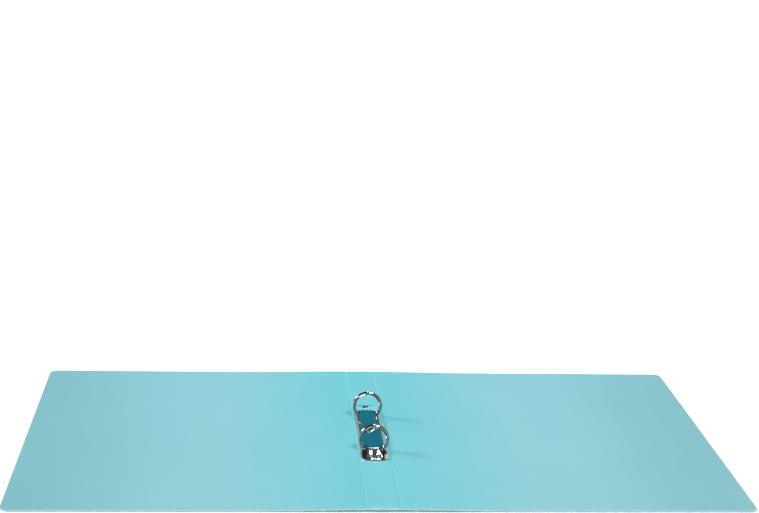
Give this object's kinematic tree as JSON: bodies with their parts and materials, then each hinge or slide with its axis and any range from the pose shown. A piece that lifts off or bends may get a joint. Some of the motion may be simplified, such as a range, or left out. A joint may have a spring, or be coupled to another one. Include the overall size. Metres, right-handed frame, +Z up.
{
  "type": "two-ring binder",
  "caption": "Flexible plastic A4 binder lying open, with two round metal rings on the inside of its spine and two hinged covers.",
  "frame": {"origin": "on the table, under the middle of the spine", "axes": "+X across the open binder from the front cover to the back cover, +Y along the spine towards the top of the binder, +Z up"},
  "size_m": [0.539, 0.32, 0.0231],
  "materials": {
    "pp_sheet": "fine matt grain on turquoise polypropylene",
    "pp_crease": "paler, smoother pressed crease",
    "nickel": "bright nickel plating",
    "blade_steel": "dull plated spring steel"
  },
  "bodies": {
    "spine_body": {"spine": "pp_sheet", "front_hinge_web": "pp_crease", "back_hinge_web": "pp_crease", "mechanism_plate": "nickel", "near_rivet": "nickel", "far_rivet": "nickel"},
    "front_cover_body": {"front_cover": "pp_sheet"},
    "back_cover_body": {"back_cover": "pp_sheet"},
    "left_ring_body": {"left_blade": "blade_steel", "near_left_ring_half": "nickel", "far_left_ring_half": "nickel"},
    "right_ring_body": {"right_blade": "blade_steel", "near_right_ring_half": "nickel", "far_right_ring_half": "nickel"}
  },
  "joints": [
    {"name": "front_cover_hinge", "type": "hinge", "parent": "spine_body", "child": "front_cover_body", "pos_m": [-0.012, 0, 0.0015], "axis": [0, 1, 0], "range_deg": [0, 74], "deforming": ["front_hinge_web"]},
    {"name": "back_cover_hinge", "type": "hinge", "parent": "spine_body", "child": "back_cover_body", "pos_m": [0.012, 0, 0.0015], "axis": [0, -1, 0], "range_deg": [0, 74], "deforming": ["back_hinge_web"]},
    {"name": "left_ring_hinge", "type": "hinge", "parent": "spine_body", "child": "left_ring_body", "pos_m": [-0.00885, 0, 0.00345], "axis": [0, -1, 0], "range_deg": [0, 11]},
    {"name": "right_ring_hinge", "type": "hinge", "parent": "spine_body", "child": "right_ring_body", "pos_m": [0.00885, 0, 0.00345], "axis": [0, 1, 0], "range_deg": [0, 11]}
  ],
  "couplings": [
    {"joint": "left_ring_hinge", "follows": "right_ring_hinge", "ratio": 1}
  ]
}
